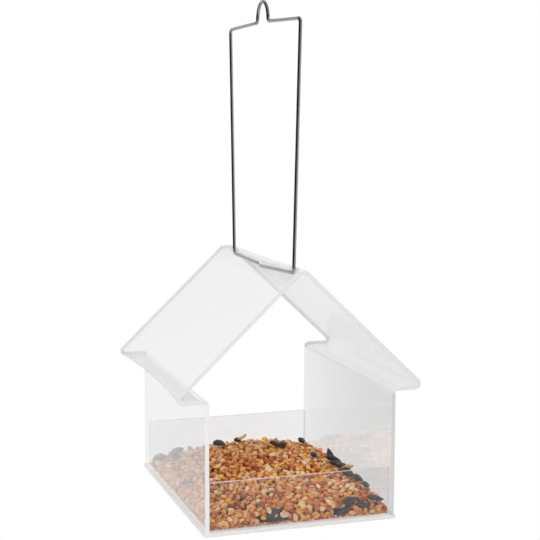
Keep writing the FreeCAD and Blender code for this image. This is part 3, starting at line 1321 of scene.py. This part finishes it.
def seed_core(heap):
    """The inside of the heap, well below the grains on its skin, painted dark brown as shade, with paler
    dust on the floor.
    """
    # Painted shade: the heap's inside is dark brown, like the shade deep between the grains.
    painted_inside_shade = grain_material("heap_shade", painted_shade_colours, mottle=400.0, roughness=0.9)
    pale_dust = grain_material("floor_dust", floor_dust_colours, mottle=400.0, roughness=0.9)
    inset = 2.4 * millimetre
    depth = 3.5 * millimetre
    least = 0.2 * millimetre
    steps = 24
    high = Vector((heap_half_x - inset, heap_half_y - inset))
    low = -high
    floor = heap_low.z + millimetre
    lines = []
    for row in range(steps + 1):
        y = low.y + (high.y - low.y) * row / steps
        line = []
        for column in range(steps + 1):
            x = low.x + (high.x - low.x) * column / steps
            top, _ = heap.top(x, y)
            line.append((x, y, max(top.z - depth, floor + least)))
        lines.append(line)
    top = [point for line in lines for point in line]
    bottom = [(x, y, floor) for x, y, z in top]
    face, back, rim = slab_faces(lines)
    kinds = [heap_inside] * len(face) + [heap_floor] * len(back) + [heap_inside] * len(rim)
    mesh = mesh_of("seed_core", top + bottom, face + back + rim, kinds)
    rework(mesh, face_out)
    return new_piece("seed_core", mesh, [painted_inside_shade, pale_dust], "house", "seed_heap")


def seed_pieces():
    """All grains of the heap, one piece for each kind, and the heap's inside."""
    draw = np.random.default_rng(heap_random_seed)
    heap = Heap()
    kinds = seed_kinds(draw)
    lines = lay_placed_grains(heap, kinds, draw)
    lay_loose_grains(heap, kinds, lines, draw)
    for kind in kinds.values():
        kind.join(draw)
    seed_core(heap)


# Stage, light and camera


def camera_axes():
    """The camera's right, up and forward directions."""
    forward = Vector((
        sin(camera_yaw) * cos(camera_pitch),
        cos(camera_yaw) * cos(camera_pitch),
        -sin(camera_pitch),
    ))
    level = Vector((cos(camera_yaw), -sin(camera_yaw), 0))
    upright = level.cross(forward)
    right = level * cos(camera_roll) + upright * sin(camera_roll)
    up = upright * cos(camera_roll) - level * sin(camera_roll)
    return right, up, forward


def floor_paint():
    """Pale, slightly uneven paint that also glows a little where the camera or gloss shows it."""
    material, tree = new_material("pale_floor")
    grain = noise(tree, add(tree, "TexCoord").outputs["Generated"], scale=30.0, detail=3.0)
    paint = made(tree, "BsdfDiffuse", {"Color": ranged(tree, grain, 0.83, 0.87)})
    path = add(tree, "LightPath").outputs
    seen = made(tree, "Math", {0: path["Is Camera Ray"], 1: path["Is Glossy Ray"]}, operation="MAXIMUM")
    glow = made(tree, "Emission", {"Color": grey(0.2), "Strength": seen})
    show(tree, made(tree, "AddShader", {0: paint, 1: glow}))
    return material


def stage_floor():
    """A pale floor well below the hanging table."""
    sides = 96
    vertices = []
    for angle in angles_round(sides):
        vertices.append((stage_radius * cos(angle), stage_radius * sin(angle), stage_level))
    mesh = mesh_of("floor", vertices, [list(range(sides))])
    new_piece("floor", mesh, [floor_paint()])


def white_light(tree, strength):
    """White light from all round, of this strength."""
    return made(tree, "Background", {"Color": grey(1.0), "Strength": strength})


def studio_world():
    """White behind the table, plain light on it, and a backdrop with dim ends for gloss to show."""
    world = bpy.data.worlds.new("studio")
    bpy.context.scene.world = world
    world.use_nodes = True
    tree = world.node_tree
    tree.nodes.clear()
    path = add(tree, "LightPath").outputs
    way = add(tree, "TexCoord").outputs["Generated"]
    parts = add(tree, "SeparateXYZ", {"Vector": way}).outputs
    front = Vector((-sin(camera_yaw), -cos(camera_yaw), 0))
    shown = fade(tree, along_way(tree, way, front), start=0.35, end=0.9, least=0.35)
    shown = product(tree, shown, fade(tree, parts["X"], start=-0.31, end=-0.40, least=0.0))
    shown = product(tree, shown, fade(tree, parts["Z"], start=0.2, end=0.4, least=0.6))
    shown = product(tree, shown, fade(tree, parts["Z"], start=0.0, end=-0.3, least=0.96))
    ambient = white_light(tree, ambient_light)
    glossy = mixed(tree, path["Is Glossy Ray"], ambient, white_light(tree, shown))
    seen = mixed(tree, path["Is Camera Ray"], glossy, white_light(tree, 1.0))
    add(tree, "OutputWorld", {"Surface": seen})


def soft_lamp(name, place, watts):
    """A square soft box that faces the table's middle and that gloss doesn't mirror."""
    lamp = bpy.data.lights.new(name, "AREA")
    lamp.size = lamp_size
    lamp.energy = watts
    holder = new_object(name, lamp)
    holder.location = place
    holder.rotation_euler = (table_middle - place).to_track_quat("-Z", "Y").to_euler()
    holder.visible_glossy = False


def studio_camera():
    """The photograph's camera."""
    data = bpy.data.cameras.new("camera")
    data.sensor_width = sensor_width
    data.lens = sensor_width * focal_pixels / photo_side
    data.clip_start = 0.01
    right, up, forward = camera_axes()
    camera = new_object("camera", data)
    turn = Matrix((right, up, -forward)).transposed()
    camera.matrix_world = Matrix.Translation(camera_place) @ turn.to_4x4()
    bpy.context.scene.camera = camera


bpy.context.scene.view_settings.view_transform = "Standard"
studio_camera()
studio_world()
stage_floor()
soft_lamp("key", key_place, key_power)
soft_lamp("fill", fill_place, fill_power)
clear_sheets()
hanger(drawn_steel())
seed_pieces()
